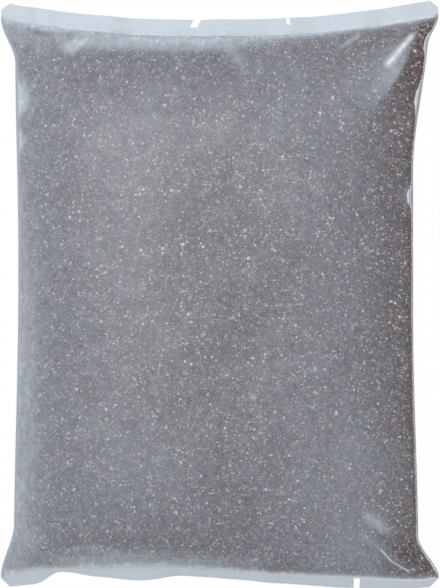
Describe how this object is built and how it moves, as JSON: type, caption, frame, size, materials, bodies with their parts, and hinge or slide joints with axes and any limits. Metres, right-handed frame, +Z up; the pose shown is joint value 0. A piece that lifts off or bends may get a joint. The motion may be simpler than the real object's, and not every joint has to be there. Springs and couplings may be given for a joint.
{
  "type": "aquarium gravel bag",
  "caption": "Clear film pillow bag filled with fine mixed gravel, welded flat across the head and foot, lying flat",
  "frame": {"origin": "on the ground, under the middle of the bag's bounding box", "axes": "+X across the bag from its left side fold to its right one, +Y along it from the foot weld to the head weld, +Z up from the ground through the filled body"},
  "size_m": [0.2636, 0.3554, 0.0556],
  "materials": {
    "film": "clear, slightly milky polyethylene film with soft gloss",
    "gravel": "dry fine gravel, mixed slate, blue-grey, brown, tan and quartz grains"
  },
  "bodies": {
    "root": {"film_bag": "film", "gravel_fill": "gravel"}
  },
  "joints": []
}
